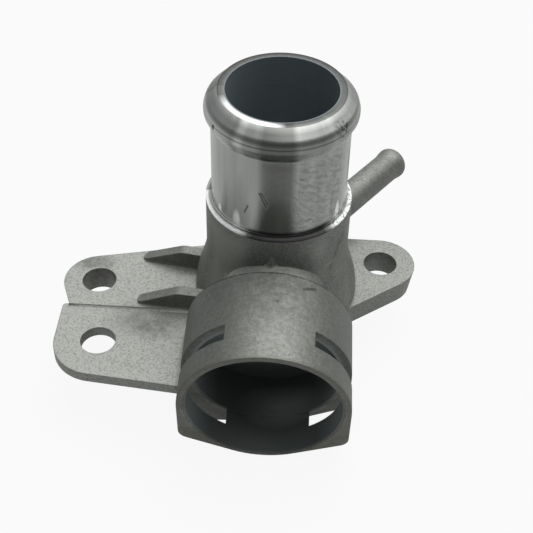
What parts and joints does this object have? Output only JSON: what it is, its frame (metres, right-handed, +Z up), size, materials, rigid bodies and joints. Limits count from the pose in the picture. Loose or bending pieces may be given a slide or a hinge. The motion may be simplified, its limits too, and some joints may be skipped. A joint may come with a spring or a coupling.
{
  "type": "coolant flange",
  "caption": "Cast aluminium coolant outlet flange with a beaded hose spout, a clip-lock connector socket, bolt ears, a bracket tab and a bleed nipple.",
  "frame": {"origin": "on the hose spout's axis, in the sealing face under the bolt plate", "axes": "+Z up the hose spout, -Y out of the connector socket, +X towards the ear behind the bleed nipple's side"},
  "size_m": [0.0902, 0.09, 0.0772],
  "materials": {
    "cast_aluminium": "satin"
  },
  "bodies": {
    "root": {"flange_casting": "cast_aluminium"}
  },
  "joints": []
}
